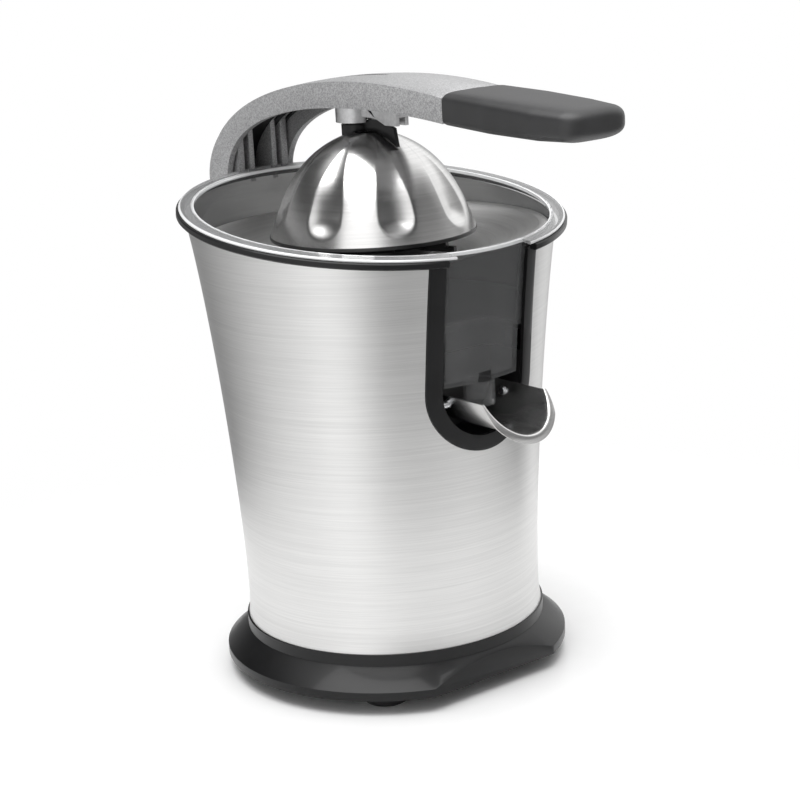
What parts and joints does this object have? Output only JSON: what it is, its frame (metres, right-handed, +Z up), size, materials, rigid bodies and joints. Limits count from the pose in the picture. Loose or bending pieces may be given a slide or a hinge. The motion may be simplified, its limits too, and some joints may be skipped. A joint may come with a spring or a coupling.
{
  "type": "citrus press juicer",
  "caption": "Citrus press juicer: flared steel body, tilted clear rim, lever arm with press dome, motor-driven reamer, filter tray and flip spout.",
  "frame": {"origin": "on the body's vertical axis, in the plane of the feet's undersides", "axes": "+Z up, +X to the right seen from the front, the spout and the grip point to -Y"},
  "size_m": [0.2024, 0.2936, 0.3138],
  "materials": {
    "rubber": "matte moulded rubber",
    "black_plastic": "satin black",
    "zinc_steel": "bright zinc",
    "brushed_steel": "brushed round the body",
    "clear_plastic": "clear, slightly smoky",
    "gearbox_plastic": "glass-filled nylon",
    "bronze": "sintered",
    "seal_rubber": "silicone",
    "motor_iron": "laminated iron",
    "copper_wire": "enamelled copper",
    "die_cast": "silver-grey die casting",
    "carbon": "graphite",
    "white_plastic": "natural acetal",
    "red_plastic": "moulded",
    "silver_paint": "silver-grey paint with a fine speckle",
    "soft_grip": "soft-touch dark grey",
    "polished_steel": "polished stainless steel"
  },
  "bodies": {
    "housing": {"feet": "rubber", "base_skirt": "black_plastic", "base_plate": "black_plastic", "base_screws": "zinc_steel", "body_sleeve": "brushed_steel", "inner_housing": "black_plastic", "deck_cover": "black_plastic", "trim_ring": "black_plastic", "slot_bezel": "black_plastic", "spout_recess": "black_plastic", "juice_collector": "clear_plastic", "filter_tray": "brushed_steel", "gearbox_base": "gearbox_plastic", "gearbox_cover": "gearbox_plastic", "gearbox_screws": "zinc_steel", "cover_bush": "bronze", "shaft_bush": "bronze", "shaft_seal": "seal_rubber", "motor_stator": "motor_iron", "motor_windings": "copper_wire", "motor_bracket": "die_cast", "motor_bearings": "zinc_steel", "motor_screws": "zinc_steel", "brushes": "carbon", "switch_body": "black_plastic", "terminal_block": "white_plastic", "inlet_gland": "rubber", "idler_pin": "zinc_steel", "hinge_tower": "die_cast", "hinge_pin": "zinc_steel", "pin_caps": "black_plastic"},
    "rotor": {"rotor_core": "motor_iron", "rotor_shaft": "zinc_steel", "commutator": "copper_wire", "cooling_fan": "white_plastic", "motor_pinion": "bronze"},
    "idler": {"idler_gear": "white_plastic"},
    "output": {"output_gear": "white_plastic"},
    "drive": {"drive_shaft": "zinc_steel", "shaft_collar": "white_plastic", "return_spring": "zinc_steel", "reamer_carrier": "black_plastic", "reamer_cone": "black_plastic"},
    "button": {"switch_button": "red_plastic"},
    "arm": {"arm_casting": "silver_paint", "arm_boss": "die_cast", "boss_screws": "zinc_steel", "arm_inlay": "black_plastic", "grip": "soft_grip", "grip_screws": "zinc_steel", "dome_pin": "zinc_steel"},
    "dome": {"press_dome": "polished_steel", "dome_liner": "black_plastic", "dome_neck": "black_plastic"},
    "spout": {"spout_trough": "polished_steel", "spout_pins": "zinc_steel"}
  },
  "joints": [
    {"name": "rotor_spin", "type": "hinge", "parent": "housing", "child": "rotor", "pos_m": [0, 0.0075, 0.065], "axis": [0, 0, 1], "continuous": true},
    {"name": "idler_spin", "type": "hinge", "parent": "housing", "child": "idler", "pos_m": [0, 0.0375, 0.11], "axis": [0, 0, 1], "continuous": true},
    {"name": "output_spin", "type": "hinge", "parent": "housing", "child": "output", "pos_m": [0, 0, 0.12], "axis": [0, 0, 1], "continuous": true},
    {"name": "reamer_press", "type": "slide", "parent": "output", "child": "drive", "axis": [0, 0, -1], "range_m": [0, 0.002], "stiffness_N_per_m": 3000, "springref_m": -0.004, "deforming": ["return_spring"]},
    {"name": "button_press", "type": "slide", "parent": "housing", "child": "button", "axis": [0, 0, -1], "range_m": [0, 0.002], "stiffness_N_per_m": 300, "springref_m": -0.001},
    {"name": "arm_lift", "type": "hinge", "parent": "housing", "child": "arm", "pos_m": [0, 0.109, 0.238], "axis": [-1, 0, 0], "range_deg": [0, 80]},
    {"name": "dome_tilt", "type": "hinge", "parent": "arm", "child": "dome", "pos_m": [0, 0.009, 0.295], "axis": [-1, 0, 0], "range_deg": [0, 4]},
    {"name": "spout_flip", "type": "hinge", "parent": "housing", "child": "spout", "pos_m": [0, -0.07719, 0.156], "axis": [-1, 0, 0], "range_deg": [0, 20]}
  ],
  "couplings": [
    {"joint": "idler_spin", "follows": "rotor_spin", "ratio": -0.25},
    {"joint": "output_spin", "follows": "rotor_spin", "ratio": 0.0625},
    {"joint": "button_press", "follows": "reamer_press", "ratio": 1}
  ]
}
